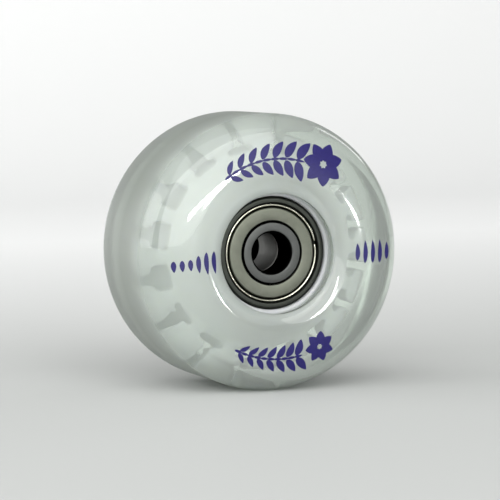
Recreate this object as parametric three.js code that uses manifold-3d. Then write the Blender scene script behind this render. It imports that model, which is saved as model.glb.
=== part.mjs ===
import * as THREE from "three";
import { mergeVertices } from "three/addons/utils/BufferGeometryUtils.js";
import Module from "manifold-3d";

// A clear roller wheel on two shielded ball bearings, with a small generator and lamps inside its core.
// Millimetres. The wheel turns about the Y axis, its printed face looks along -Y, and +Z is up.
// The origin is the centre of the wheel. "Outward" means away from the middle of the wheel along Y.

const wasm = await Module();
wasm.setup();

// ---------------------------------------------------------------- driving dimensions

const WHEEL_RADIUS = 27;
const WHEEL_HALF_WIDTH = 16;

// The bearings have the standard 8 x 22 x 7 size.
const BEARING_OUTER_RADIUS = 11;
const BEARING_BORE_RADIUS = 4;
const BEARING_WIDTH = 7;
const SPACER_LENGTH = 10;

const TOOTH_COUNT = 16;
const TOOTH_PITCH = (2 * Math.PI) / TOOTH_COUNT;
const FIRST_SLOT_ANGLE = THREE.MathUtils.degToRad(13);
const TOOTH_TIP_RADIUS = 21.6;

const BALLS_PER_BEARING = 7;
const LAMP_COUNT = 6;
const POLES_PER_PLATE = 4;

// Clearances between neighbouring solids.
const CAST_GAP = 0.3;
const PRESS_GAP = 0.05;
const REST_GAP = 0.02;

// Facets round a turned surface: coarse for the bearings and the cartridge, finer for the tyre.
// WIRE_FACETS is for a snap ring's two arcs.
const TYRE_FACETS = 48;
const RING_FACETS = 28;
const WIRE_FACETS = 20;

// ---------------------------------------------------------------- finishes

const FINISHES = {
  urethane: { color: 0xd3dcd6, roughness: 0.12, metalness: 0, transparent: true, opacity: 0.45 },
  core: { color: 0xe6ece8, roughness: 0.45, metalness: 0 },
  steel: { color: 0x8d918b, roughness: 0.3, metalness: 1 },
  shield: { color: 0xa9aa9c, roughness: 0.4, metalness: 1 },
  wire: { color: 0xc9cac2, roughness: 0.2, metalness: 1 },
  ball: { color: 0xd6d8da, roughness: 0.08, metalness: 1 },
  spacer: { color: 0xb9b5b1, roughness: 0.45, metalness: 0.4 },
  magnet: { color: 0x3a3b3d, roughness: 0.6, metalness: 0.2 },
  plate: { color: 0x9a9c9e, roughness: 0.4, metalness: 1 },
  bobbin: { color: 0xe8e4d8, roughness: 0.5, metalness: 0 },
  copper: { color: 0xb5652b, roughness: 0.35, metalness: 1 },
  board: { color: 0x2f6b3c, roughness: 0.5, metalness: 0 },
  lamp: { color: 0xf2f4ee, roughness: 0.15, metalness: 0 },
};

// ---------------------------------------------------------------- helpers

function piece(name, finish, geometry) {
  const mesh = new THREE.Mesh(geometry, new THREE.MeshStandardMaterial(FINISHES[finish]));
  mesh.name = name;
  return mesh;
}

// Turns a closed outline of [radius, y] points about the Y axis. The outline runs anticlockwise.
function turned(outline, facets = RING_FACETS) {
  const points = outline.map(([radius, y]) => new THREE.Vector2(radius, y));
  points.push(points[0].clone());
  return new THREE.LatheGeometry(points, facets);
}

// A ring with a rectangular section.
function turnedRing(innerRadius, outerRadius, fromY, toY, facets = RING_FACETS) {
  return turned([[innerRadius, fromY], [outerRadius, fromY], [outerRadius, toY], [innerRadius, toY]], facets);
}

// Extrudes a shape drawn in the XZ plane along +Y, starting at fromY.
function extruded(shape, fromY, length, curveSegments = 8) {
  const geometry = new THREE.ExtrudeGeometry(shape, { depth: length, bevelEnabled: false, curveSegments });
  geometry.rotateX(Math.PI / 2);
  geometry.translate(0, fromY + length, 0);
  return geometry;
}

// The part of a ring between two angles, as a shape in the XZ plane.
function ringSector(innerRadius, outerRadius, centreAngle, halfAngle) {
  const shape = new THREE.Shape();
  shape.absarc(0, 0, outerRadius, centreAngle - halfAngle, centreAngle + halfAngle, false);
  shape.absarc(0, 0, innerRadius, centreAngle + halfAngle, centreAngle - halfAngle, true);
  shape.closePath();
  return shape;
}

function toSolid(geometry) {
  const bare = geometry.clone();
  bare.deleteAttribute("normal");
  bare.deleteAttribute("uv");
  const merged = mergeVertices(bare, 1e-5);
  const vertProperties = new Float32Array(merged.attributes.position.array);
  const triVerts = new Uint32Array(merged.index.array);
  return new wasm.Manifold(new wasm.Mesh({ numProp: 3, vertProperties, triVerts }));
}

function toGeometry(solid) {
  const mesh = solid.getMesh();
  const geometry = new THREE.BufferGeometry();
  geometry.setAttribute("position", new THREE.BufferAttribute(new Float32Array(mesh.vertProperties), 3));
  geometry.setIndex(new THREE.BufferAttribute(new Uint32Array(mesh.triVerts), 1));
  geometry.computeVertexNormals();
  return geometry;
}

function joined(geometries) {
  const solids = geometries.map(toSolid);
  return toGeometry(solids.reduce((whole, next) => whole.add(next)));
}

function mirrored(outline) {
  return outline.map(([radius, y]) => [radius, -y]).reverse();
}

// ---------------------------------------------------------------- toothed core

const CORE_HALF_WIDTH = 12.4;
const HUB_RADIUS = 14;
const FLANGE_RADIUS = 18.2;
const FLANGE_HALF_WIDTH = 3.4;
const SLOT_MOUTH_HALF = 0.6;
const SLOT_NECK_HALF = 0.75;
const SLOT_NECK_RADIUS = 20.4;
const SLOT_FLARE_HALF = 1.15;
const SLOT_FLARE_RADIUS = 19.7;
const SLOT_ROOT_HALF = 2.4;
const SLOT_ROOT_INNER = 18.5;
const SLOT_ROOT_OUTER = 19.4;
const HEAD_ARC_STEPS = 4;
const FRONT_SHOULDER_INNER = 9.7;
const FRONT_SHOULDER_THICKNESS = 1;

// The teeth as an outline in the XZ plane, made larger all round by grow. Each slot between two teeth is
// an upside-down T, with a narrow mouth and a neck that flares into the bar at its root.
function toothOutline(grow) {
  const headRadius = TOOTH_TIP_RADIUS + grow;
  const mouthHalf = SLOT_MOUTH_HALF - grow;
  const mouthRadius = Math.sqrt(headRadius ** 2 - mouthHalf ** 2);
  const mouthAngle = Math.asin(mouthHalf / headRadius);
  const headStep = (TOOTH_PITCH - 2 * mouthAngle) / HEAD_ARC_STEPS;
  // One side of a slot, as [outward, sideways] from the wheel's axis, from its mouth to its root.
  const side = [
    [mouthRadius, mouthHalf],
    [SLOT_NECK_RADIUS, SLOT_NECK_HALF - grow],
    [SLOT_FLARE_RADIUS - grow, SLOT_FLARE_HALF - grow],
    [SLOT_ROOT_OUTER - grow, SLOT_ROOT_HALF - grow],
    [SLOT_ROOT_INNER + grow, SLOT_ROOT_HALF - grow],
  ];
  const otherSide = side.map(([outward, sideways]) => [outward, -sideways]);
  const slot = [...otherSide, ...side.reverse()];
  const points = [];
  for (let tooth = 0; tooth < TOOTH_COUNT; tooth += 1) {
    const angle = FIRST_SLOT_ANGLE + tooth * TOOTH_PITCH;
    for (const [outward, sideways] of slot) {
      const x = outward * Math.cos(angle) - sideways * Math.sin(angle);
      const z = outward * Math.sin(angle) + sideways * Math.cos(angle);
      points.push(new THREE.Vector2(x, z));
    }
    for (let step = 1; step < HEAD_ARC_STEPS; step += 1) {
      const headAngle = angle + mouthAngle + step * headStep;
      points.push(new THREE.Vector2(headRadius * Math.cos(headAngle), headRadius * Math.sin(headAngle)));
    }
  }
  return new THREE.Shape(points);
}

// The core without its bore: a hub at each end, a cone that widens to the flange, and the teeth on the
// flange. A surface that grows by grow moves a cone's two ends outward by coneShift.
function toothedBlank(grow, innerOutline) {
  const halfWidth = CORE_HALF_WIDTH + grow;
  const flangeHalf = FLANGE_HALF_WIDTH + grow;
  const slope = Math.atan2(FLANGE_RADIUS - HUB_RADIUS, CORE_HALF_WIDTH - FLANGE_HALF_WIDTH);
  const coneShift = (grow * (1 - Math.sin(slope))) / Math.cos(slope);
  const beyondTips = TOOTH_TIP_RADIUS + 1;
  const envelope = turned([
    [HUB_RADIUS + coneShift, -halfWidth],
    [FLANGE_RADIUS + coneShift, -flangeHalf],
    [beyondTips, -flangeHalf],
    [beyondTips, flangeHalf],
    [FLANGE_RADIUS + coneShift, flangeHalf],
    [HUB_RADIUS + coneShift, halfWidth],
    ...innerOutline,
  ]);
  const teeth = extruded(toothOutline(grow), -halfWidth - 1, 2 * halfWidth + 2);
  return toSolid(teeth).intersect(toSolid(envelope));
}

// A seat for each bearing, with a thin shoulder behind the front one. The pocket between the shoulder
// and the rear bearing holds the cartridge, which goes in through the rear seat.
function toothedCore() {
  const seat = BEARING_OUTER_RADIUS + PRESS_GAP;
  const shoulderFront = -SPACER_LENGTH / 2;
  const shoulderBack = shoulderFront + FRONT_SHOULDER_THICKNESS;
  const bore = [
    [seat, CORE_HALF_WIDTH],
    [seat, shoulderBack],
    [FRONT_SHOULDER_INNER, shoulderBack],
    [FRONT_SHOULDER_INNER, shoulderFront],
    [seat, shoulderFront],
    [seat, -CORE_HALF_WIDTH],
  ];
  return piece("toothed_core", "core", toGeometry(toothedBlank(0, bore)));
}

// ---------------------------------------------------------------- tyre

// From the axis outward: the recess, its rounded lip, the flat crest, a conical side face that starts
// gently round CONE_START, an elliptical shoulder and the flat tread.
const RECESS_RADIUS = 11.65;
const LIP_DEPTH = 1.5;
const LIP_STEPS = 3;
const CREST_RADIUS = 15.5;
const CONE_START = 19.2;
const CONE_BLEND = 2.5;
const CONE_SLOPE = 0.33;
const SHOULDER_RADIUS = 23.3;
const SHOULDER_STEPS = 7;
const TREAD_HALF_WIDTH = 9;

// How far the side face stands from the wheel's middle, before the shoulder rounds it off.
function faceY(radius) {
  const along = radius - CONE_START;
  if (along < -CONE_BLEND) return WHEEL_HALF_WIDTH;
  if (along > CONE_BLEND) return WHEEL_HALF_WIDTH - CONE_SLOPE * along;
  return WHEEL_HALF_WIDTH - (CONE_SLOPE * (along + CONE_BLEND) ** 2) / (4 * CONE_BLEND);
}

// The rear half of the tyre's section, from the edge of the tread to the mouth of the recess.
function tyreHalfOutline() {
  const outline = [];
  for (let step = 0; step <= SHOULDER_STEPS; step += 1) {
    const turn = (step / SHOULDER_STEPS) * (Math.PI / 2);
    const radius = SHOULDER_RADIUS + (WHEEL_RADIUS - SHOULDER_RADIUS) * Math.cos(turn);
    outline.push([radius, TREAD_HALF_WIDTH + (faceY(radius) - TREAD_HALF_WIDTH) * Math.sin(turn)]);
  }
  for (const radius of [CONE_START + CONE_BLEND, CONE_START, CONE_START - CONE_BLEND, CREST_RADIUS]) {
    outline.push([radius, faceY(radius)]);
  }
  for (let step = 1; step <= LIP_STEPS; step += 1) {
    const turn = (step / LIP_STEPS) * (Math.PI / 2);
    const radius = CREST_RADIUS - (CREST_RADIUS - RECESS_RADIUS) * Math.sin(turn);
    outline.push([radius, WHEEL_HALF_WIDTH - LIP_DEPTH * (1 - Math.cos(turn))]);
  }
  return outline;
}

// The tyre is cast round the core, so its fingers fill the T slots.
function urethaneTyre() {
  const rearHalf = tyreHalfOutline();
  const blank = turned([...mirrored(rearHalf), ...rearHalf], TYRE_FACETS);
  const cavity = toothedBlank(CAST_GAP, [
    [BEARING_OUTER_RADIUS, CORE_HALF_WIDTH + CAST_GAP],
    [BEARING_OUTER_RADIUS, -CORE_HALF_WIDTH - CAST_GAP],
  ]);
  return piece("urethane_tyre", "urethane", toGeometry(toSolid(blank).subtract(cavity)));
}

// ---------------------------------------------------------------- bearings

const PITCH_RADIUS = 7.5;
const BALL_RADIUS = 1.97;
const RACE_RADIUS = 2.1;
const RACE_STEPS = 4;
const INNER_LAND_RADIUS = 6.05;
const OUTER_LAND_RADIUS = 9.05;
const RING_CHAMFER = 0.4;
const SHIELD_THICKNESS = 0.25;
const SHIELD_SEAT_Y = 2.47;
const SHIELD_WEB_Y = 3.05;
const SHIELD_BORE_RADIUS = 6.2;
const SHIELD_WEB_RADIUS = 8.7;
const SHIELD_RIM_RADIUS = 8.95;
const WIRE_INNER = 9.1;
const WIRE_OUTER = 9.6;
const WIRE_THICKNESS = 0.45;
const WIRE_GAP_ANGLE = THREE.MathUtils.degToRad(11);
const WIRE_GAP_HALF = THREE.MathUtils.degToRad(4);
const CAGE_INNER = 6.75;
const CAGE_OUTER = 8.25;
const CAGE_THICKNESS = 0.3;
const POCKET_RADIUS = 2.12;
// Where the ribbon's shape is set along each pocket, as parts of its half-length.
const POCKET_STATIONS = [-1, -0.83, -0.45, 0, 0.45, 0.83, 1];

// The ball groove of a ring whose land is at landRadius, as points from -Y to +Y.
function raceway(landRadius, side) {
  const halfChord = Math.sqrt(RACE_RADIUS ** 2 - (landRadius - PITCH_RADIUS) ** 2);
  const limit = Math.asin(halfChord / RACE_RADIUS);
  const points = [];
  for (let step = 0; step <= RACE_STEPS; step += 1) {
    const turn = -limit + (2 * limit * step) / RACE_STEPS;
    points.push([PITCH_RADIUS + side * RACE_RADIUS * Math.cos(turn), RACE_RADIUS * Math.sin(turn)]);
  }
  return points;
}

function innerRing() {
  const face = BEARING_WIDTH / 2;
  const rearFace = [
    [INNER_LAND_RADIUS, face],
    [BEARING_BORE_RADIUS + RING_CHAMFER, face],
    [BEARING_BORE_RADIUS, face - RING_CHAMFER],
  ];
  return turned([...mirrored(rearFace), ...raceway(INNER_LAND_RADIUS, -1), ...rearFace]);
}

// The outer ring has a ledge for each shield and a recess for its snap wire.
function outerRing() {
  const face = BEARING_WIDTH / 2;
  const rearFace = [
    [BEARING_OUTER_RADIUS, face - RING_CHAMFER],
    [BEARING_OUTER_RADIUS - RING_CHAMFER, face],
    [WIRE_OUTER + PRESS_GAP, face],
    [WIRE_OUTER + PRESS_GAP, SHIELD_SEAT_Y - REST_GAP],
    [OUTER_LAND_RADIUS, SHIELD_SEAT_Y - REST_GAP],
  ];
  const race = raceway(OUTER_LAND_RADIUS, 1).reverse();
  return turned([...rearFace, ...race, ...mirrored(rearFace)]);
}

// A dished shield: a flat web near the bearing's face, and a rim that rests on the outer ring's ledge.
function shield(side) {
  const rimOuter = WIRE_OUTER - PRESS_GAP;
  const outline = [
    [SHIELD_BORE_RADIUS, SHIELD_WEB_Y],
    [SHIELD_WEB_RADIUS - SHIELD_THICKNESS, SHIELD_WEB_Y],
    [SHIELD_RIM_RADIUS - SHIELD_THICKNESS, SHIELD_SEAT_Y],
    [rimOuter, SHIELD_SEAT_Y],
    [rimOuter, SHIELD_SEAT_Y + SHIELD_THICKNESS],
    [SHIELD_RIM_RADIUS, SHIELD_SEAT_Y + SHIELD_THICKNESS],
    [SHIELD_WEB_RADIUS, SHIELD_WEB_Y + SHIELD_THICKNESS],
    [SHIELD_BORE_RADIUS, SHIELD_WEB_Y + SHIELD_THICKNESS],
  ];
  return turned(side > 0 ? outline : mirrored(outline));
}

function snapRing(side) {
  const opening = WIRE_GAP_ANGLE + Math.PI;
  const shape = ringSector(WIRE_INNER, WIRE_OUTER - PRESS_GAP, opening, Math.PI - WIRE_GAP_HALF);
  const nearY = SHIELD_SEAT_Y + SHIELD_THICKNESS + REST_GAP;
  const fromY = side > 0 ? nearY : -nearY - WIRE_THICKNESS;
  return extruded(shape, fromY, WIRE_THICKNESS, WIRE_FACETS);
}

// Half of a pressed ribbon cage: flat between the balls and arched over each of them.
function cageHalf(side) {
  const reach = POCKET_RADIUS + CAGE_THICKNESS;
  const stations = POCKET_STATIONS.map((part) => part * reach);
  const arch = (along, radius) => Math.sqrt(Math.max(0, radius ** 2 - along ** 2));
  const angles = [];
  const lows = [];
  const highs = [];
  for (let ball = 0; ball < BALLS_PER_BEARING; ball += 1) {
    for (const along of stations) {
      angles.push(ballAngle(ball) + along / PITCH_RADIUS);
      lows.push(REST_GAP + arch(along, POCKET_RADIUS));
      highs.push(REST_GAP + Math.max(CAGE_THICKNESS, arch(along, reach)));
    }
  }
  const corners = [[CAGE_INNER, 0], [CAGE_OUTER, 0], [CAGE_OUTER, 1], [CAGE_INNER, 1]];
  const order = side > 0 ? corners : mirrored(corners);
  const geometry = turned(order, angles.length);
  const position = geometry.attributes.position;
  const perStation = order.length + 1;
  for (let index = 0; index < position.count; index += 1) {
    const station = Math.floor(index / perStation) % angles.length;
    const [radius, level] = order[(index % perStation) % order.length];
    const y = side * (level === 0 ? lows[station] : highs[station]);
    // The lathe starts on +Z and turns towards +X, so its stations are laid out the same way.
    position.setXYZ(index, radius * Math.sin(angles[station]), y, radius * Math.cos(angles[station]));
  }
  return geometry;
}

// Measured from +Z towards +X.
function ballAngle(ball) {
  return (2 * Math.PI * ball) / BALLS_PER_BEARING;
}

function bearing(end, centreY) {
  const outward = Math.sign(centreY);
  const group = new THREE.Group();
  group.position.y = centreY;
  group.add(piece(`${end}_inner_ring`, "steel", innerRing()));
  group.add(piece(`${end}_outer_ring`, "steel", outerRing()));
  for (const [facing, side] of [["outward", outward], ["inward", -outward]]) {
    group.add(piece(`${end}_${facing}_shield`, "shield", shield(side)));
    group.add(piece(`${end}_${facing}_snap_ring`, "wire", snapRing(side)));
    group.add(piece(`${end}_${facing}_cage_half`, "plate", cageHalf(side)));
  }
  for (let ball = 0; ball < BALLS_PER_BEARING; ball += 1) {
    const mesh = piece(`${end}_ball_${ball + 1}`, "ball", new THREE.IcosahedronGeometry(BALL_RADIUS, 1));
    const angle = ballAngle(ball);
    mesh.position.set(PITCH_RADIUS * Math.sin(angle), 0, PITCH_RADIUS * Math.cos(angle));
    group.add(mesh);
  }
  return group;
}

// ---------------------------------------------------------------- pieces that stay still on the axle

const SPACER_BORE_RADIUS = 4.05;
const SPACER_RADIUS = 5.2;
const SPACER_COLLAR_RADIUS = 5.9;
const SPACER_CHAMFER = 0.45;
const MAGNET_RADIUS = 6.35;
const MAGNET_FROM_Y = -3.8;
const MAGNET_TO_Y = 1.8;

// A sleeve between the two inner rings, with a collar that the magnet butts against.
function spacerSleeve() {
  const end = SPACER_LENGTH / 2 - REST_GAP;
  const outline = [
    [SPACER_BORE_RADIUS, -end + SPACER_CHAMFER],
    [SPACER_BORE_RADIUS + SPACER_CHAMFER, -end],
    [SPACER_RADIUS, -end],
    [SPACER_RADIUS, MAGNET_TO_Y + PRESS_GAP],
    [SPACER_COLLAR_RADIUS, MAGNET_TO_Y + PRESS_GAP],
    [SPACER_COLLAR_RADIUS, end],
    [SPACER_BORE_RADIUS + SPACER_CHAMFER, end],
    [SPACER_BORE_RADIUS, end - SPACER_CHAMFER],
  ];
  return piece("spacer_sleeve", "spacer", turned(outline));
}

function ringMagnet() {
  const bore = SPACER_RADIUS + PRESS_GAP;
  return piece("ring_magnet", "magnet", turnedRing(bore, MAGNET_RADIUS, MAGNET_FROM_Y, MAGNET_TO_Y));
}

// ---------------------------------------------------------------- generator and lamp cartridge

const CARTRIDGE_RADIUS = 10.95;
const PLATE_BORE_RADIUS = 6.85;
const PLATE_THICKNESS = 0.55;
const CUP_INNER_RADIUS = 10.45;
const CUP_FROM_Y = -3.9;
const REAR_PLATE_Y = 1.3;
const CLAW_THICKNESS = 0.45;
const CLAW_HALF_ANGLE = THREE.MathUtils.degToRad(14);
const CLAW_TIP_GAP = 0.5;
const COIL_INNER = 7.9;
const COIL_OUTER = 9.8;
const BOBBIN_WALL = 0.35;
const LEAD_RADIUS = 0.14;
const LEAD_ANGLE = THREE.MathUtils.degToRad(8);
const BOARD_FROM_Y = 2.25;
const BOARD_THICKNESS = 0.8;
const LAMP_HEIGHT = 0.95;
const LAMP_HALF_WIDTH = 1.2;
const LAMP_BACK_RADIUS = 8.3;
const LAMP_FRONT_RADIUS = 9.6;
const LAMP_BULGE = 0.9;
const END_RING_INNER = 9.9;
const END_RING_THICKNESS = 0.6;

function claws(firstAngle, fromY, length) {
  const outer = PLATE_BORE_RADIUS + CLAW_THICKNESS;
  const geometries = [];
  for (let pole = 0; pole < POLES_PER_PLATE; pole += 1) {
    const angle = firstAngle + (2 * Math.PI * pole) / POLES_PER_PLATE;
    geometries.push(extruded(ringSector(PLATE_BORE_RADIUS, outer, angle, CLAW_HALF_ANGLE), fromY, length, 3));
  }
  return geometries;
}

// The front pole plate is a cup round the coil, and its claws reach back between the rear plate's claws.
function frontPolePlate() {
  const cup = turned([
    [PLATE_BORE_RADIUS, CUP_FROM_Y],
    [CARTRIDGE_RADIUS, CUP_FROM_Y],
    [CARTRIDGE_RADIUS, REAR_PLATE_Y - PRESS_GAP],
    [CUP_INNER_RADIUS, REAR_PLATE_Y - PRESS_GAP],
    [CUP_INNER_RADIUS, CUP_FROM_Y + PLATE_THICKNESS],
    [PLATE_BORE_RADIUS, CUP_FROM_Y + PLATE_THICKNESS],
  ]);
  const rootY = CUP_FROM_Y + PLATE_THICKNESS / 2;
  const length = REAR_PLATE_Y - CLAW_TIP_GAP - rootY;
  return piece("front_pole_plate", "plate", joined([cup, ...claws(0, rootY, length)]));
}

// The rear pole plate has a notch in its rim for the coil's two leads.
function rearPolePlate() {
  const disc = turnedRing(PLATE_BORE_RADIUS, CARTRIDGE_RADIUS, REAR_PLATE_Y, REAR_PLATE_Y + PLATE_THICKNESS);
  const tipY = CUP_FROM_Y + PLATE_THICKNESS + CLAW_TIP_GAP;
  const length = REAR_PLATE_Y + PLATE_THICKNESS / 2 - tipY;
  const halfStep = Math.PI / POLES_PER_PLATE;
  const plate = toSolid(joined([disc, ...claws(halfStep, tipY, length)]));
  const notchShape = ringSector(COIL_OUTER - 0.1, CARTRIDGE_RADIUS + 1, 0, 2 * LEAD_ANGLE);
  const notch = extruded(notchShape, REAR_PLATE_Y - 1, PLATE_THICKNESS + 2, 3);
  return piece("rear_pole_plate", "plate", toGeometry(plate.subtract(toSolid(notch))));
}

function coilBobbin() {
  const front = CUP_FROM_Y + PLATE_THICKNESS + PRESS_GAP;
  const back = REAR_PLATE_Y - PRESS_GAP;
  const outline = [
    [COIL_INNER - BOBBIN_WALL, front],
    [COIL_OUTER, front],
    [COIL_OUTER, front + BOBBIN_WALL],
    [COIL_INNER, front + BOBBIN_WALL],
    [COIL_INNER, back - BOBBIN_WALL],
    [COIL_OUTER, back - BOBBIN_WALL],
    [COIL_OUTER, back],
    [COIL_INNER - BOBBIN_WALL, back],
  ];
  return piece("coil_bobbin", "bobbin", turned(outline));
}

function copperWinding() {
  const front = CUP_FROM_Y + PLATE_THICKNESS + BOBBIN_WALL + 2 * PRESS_GAP;
  const back = REAR_PLATE_Y - BOBBIN_WALL - 2 * PRESS_GAP;
  return piece("copper_winding", "copper", turnedRing(COIL_INNER + PRESS_GAP, COIL_OUTER, front, back));
}

// A lead runs from the winding, through the rear plate's notch, to the lamp board.
function coilLead(name, angle) {
  const fromY = 0;
  const length = BOARD_FROM_Y - PRESS_GAP - fromY;
  const radius = COIL_OUTER + LEAD_RADIUS + 0.1;
  const mesh = piece(name, "copper", new THREE.CylinderGeometry(LEAD_RADIUS, LEAD_RADIUS, length, 8));
  mesh.position.set(radius * Math.cos(angle), fromY + length / 2, radius * Math.sin(angle));
  return mesh;
}

function lampBoard() {
  const back = BOARD_FROM_Y + BOARD_THICKNESS;
  return piece("lamp_board", "board", turnedRing(PLATE_BORE_RADIUS, CARTRIDGE_RADIUS, BOARD_FROM_Y, back));
}

// A flat lamp that shines outwards through its rounded front.
function lamp(index) {
  const shape = new THREE.Shape();
  shape.moveTo(LAMP_BACK_RADIUS, -LAMP_HALF_WIDTH);
  shape.lineTo(LAMP_FRONT_RADIUS, -LAMP_HALF_WIDTH);
  shape.absellipse(LAMP_FRONT_RADIUS, 0, LAMP_BULGE, LAMP_HALF_WIDTH, -Math.PI / 2, Math.PI / 2, false);
  shape.lineTo(LAMP_BACK_RADIUS, LAMP_HALF_WIDTH);
  shape.closePath();
  const fromY = BOARD_FROM_Y + BOARD_THICKNESS + 2 * PRESS_GAP;
  const mesh = piece(`lamp_${index + 1}`, "lamp", extruded(shape, fromY, LAMP_HEIGHT, 6));
  mesh.rotation.y = (2 * Math.PI * index) / LAMP_COUNT;
  return mesh;
}

// The end ring keeps the rear bearing off the lamps. Its posts stand on the board between them.
function cartridgeEndRing() {
  const back = SPACER_LENGTH / 2 - PRESS_GAP;
  const front = back - END_RING_THICKNESS;
  const parts = [turnedRing(END_RING_INNER, CARTRIDGE_RADIUS, front, back)];
  const footY = BOARD_FROM_Y + BOARD_THICKNESS + PRESS_GAP;
  for (let post = 0; post < LAMP_COUNT; post += 1) {
    const angle = ((post + 0.5) * 2 * Math.PI) / LAMP_COUNT;
    const shape = ringSector(END_RING_INNER + 0.1, CARTRIDGE_RADIUS - 0.15, angle, CLAW_HALF_ANGLE / 2);
    parts.push(extruded(shape, footY, back - END_RING_THICKNESS / 2 - footY, 2));
  }
  return piece("cartridge_end_ring", "bobbin", joined(parts));
}

// ---------------------------------------------------------------- the wheel

const wheel = new THREE.Group();
const bearingCentre = (SPACER_LENGTH + BEARING_WIDTH) / 2;
wheel.add(urethaneTyre());
wheel.add(toothedCore());
wheel.add(bearing("front", -bearingCentre));
wheel.add(bearing("rear", bearingCentre));
wheel.add(spacerSleeve());
wheel.add(ringMagnet());
wheel.add(frontPolePlate());
wheel.add(rearPolePlate());
wheel.add(coilBobbin());
wheel.add(copperWinding());
wheel.add(coilLead("coil_lead_a", LEAD_ANGLE));
wheel.add(coilLead("coil_lead_b", -LEAD_ANGLE));
wheel.add(lampBoard());
wheel.add(cartridgeEndRing());
for (let index = 0; index < LAMP_COUNT; index += 1) {
  wheel.add(lamp(index));
}

export default wheel;
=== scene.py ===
import math

import bmesh
import bpy
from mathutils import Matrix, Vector


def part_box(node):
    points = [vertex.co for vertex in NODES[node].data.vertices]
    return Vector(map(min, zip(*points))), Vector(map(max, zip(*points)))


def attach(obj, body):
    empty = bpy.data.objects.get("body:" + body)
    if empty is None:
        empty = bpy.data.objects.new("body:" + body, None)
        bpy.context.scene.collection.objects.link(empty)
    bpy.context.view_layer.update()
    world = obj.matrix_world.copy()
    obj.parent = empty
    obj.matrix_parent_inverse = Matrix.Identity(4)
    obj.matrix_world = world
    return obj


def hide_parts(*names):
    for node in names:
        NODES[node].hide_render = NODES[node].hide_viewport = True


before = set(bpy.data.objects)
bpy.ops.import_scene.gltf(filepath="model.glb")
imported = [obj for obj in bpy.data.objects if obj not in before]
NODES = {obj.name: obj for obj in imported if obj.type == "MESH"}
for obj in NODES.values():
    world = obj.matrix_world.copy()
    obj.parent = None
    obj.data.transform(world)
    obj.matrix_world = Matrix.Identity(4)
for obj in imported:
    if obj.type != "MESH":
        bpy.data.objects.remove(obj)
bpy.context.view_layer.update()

# A clear roller wheel with a milky toothed core. Design values are in millimetres, and MM turns them into
# metres when a mesh is made. The wheel turns about Y and its printed face looks along -Y.

MM = 0.001


def high(node, axis):
    """How far a node reaches along an axis (0 X, 1 Y, 2 Z), in millimetres."""
    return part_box(node)[1][axis] / MM


def low(node, axis):
    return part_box(node)[0][axis] / MM


# ------------------------------------------------------------------ sizes, from the frame

WHEEL_RADIUS = high("urethane_tyre", 2)
HALF_WIDTH = high("urethane_tyre", 1)
CORE_HALF_WIDTH = high("toothed_core", 1)
BEARING_RADIUS = high("front_outer_ring", 2)
BEARING_FACE = -low("front_outer_ring", 1)
BEARING_WIDTH = high("front_outer_ring", 1) - low("front_outer_ring", 1)
BEARING_HALF = BEARING_WIDTH / 2
BEARING_CENTRE = BEARING_FACE - BEARING_HALF
SPACER_HALF = high("spacer_sleeve", 1)
MAGNET_RADIUS = high("ring_magnet", 2)
FLOOR_Z = -WHEEL_RADIUS

# The tyre's section, from the axis outward: the recess, its rounded lip, the flat crest, a conical side
# face that starts gently round CONE_START, an elliptical shoulder and the flat tread.
RECESS_RADIUS = 11.65
LIP_DEPTH = 1.5
CREST_RADIUS = 15.5
CONE_START = 19.2
CONE_BLEND = 2.5
CONE_SLOPE = 0.33
SHOULDER_RADIUS = 23.3
TREAD_HALF_WIDTH = 9.0

# The core: a hub at each end, a cone that widens to the flange, the teeth on the flange, and inside it
# a stop behind the front bearing.
TOOTH_COUNT = 16
FIRST_SLOT = math.radians(13)
TOOTH_TIP_RADIUS = 21.6
HUB_RADIUS = 14.0
FLANGE_RADIUS = 18.2
FLANGE_HALF_WIDTH = 3.4
SLOT_MOUTH_HALF = 0.6
SLOT_NECK_HALF = 0.75
SLOT_NECK_RADIUS = 20.4
SLOT_FLARE_HALF = 1.15
SLOT_FLARE_RADIUS = 19.7
SLOT_ROOT_HALF = 2.4
SLOT_ROOT_INNER = 18.5
SLOT_ROOT_OUTER = 19.4
SEAT_GAP = 0.05
STOP_RADIUS = 9.7
STOP_THICKNESS = 1.0

# The bearings' sections, from the middle of each bearing.
BALL_COUNT = 7
BALL_RADIUS = 1.98
PITCH_RADIUS = 7.5
RACE_RADIUS = 2.05
INNER_LAND = 6.05
OUTER_LAND = 9.05
BORE_RADIUS = 4.0
SHIELD_SEAT = 2.47
SHIELD_THICKNESS = 0.25
SHIELD_WEB = 3.05
SHIELD_BORE_RADIUS = 6.2
SHIELD_STEP_RADIUS = 8.7
SHIELD_RIM_RADIUS = 8.95
WIRE_CENTRE = 9.33
WIRE_RADIUS = 0.25
WIRE_GAP = math.radians(11)
WIRE_GAP_HALF = math.radians(2.2)

# The spacer sleeve with its collar, the magnet on it, and the coil.
SPACER_BORE_RADIUS = 4.05
SPACER_CHAMFER_RADIUS = 4.5
SPACER_NECK_RADIUS = 5.2
SPACER_COLLAR_RADIUS = 5.9
MAGNET_BORE_RADIUS = 5.25
WINDING_INNER_RADIUS = 7.97
WINDING_TURNS = 19

# The print is a thin film on the side face.
PRINT_LIFT = 0.015
SPRIG_PAIRS = 7
SPRIG_STEM_STEPS = 10
SPRIG_STEM_WIDTH = 0.55
DASH_WIDTH = 1.0
FLOWER_PETALS = 7

# Lamps and other small parts have this much eased off their edges.
SMALL_EDGE = 0.06
LAMP_EDGE = 0.08
LAMP_COUNT = 6

# ------------------------------------------------------------------ outlines


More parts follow.
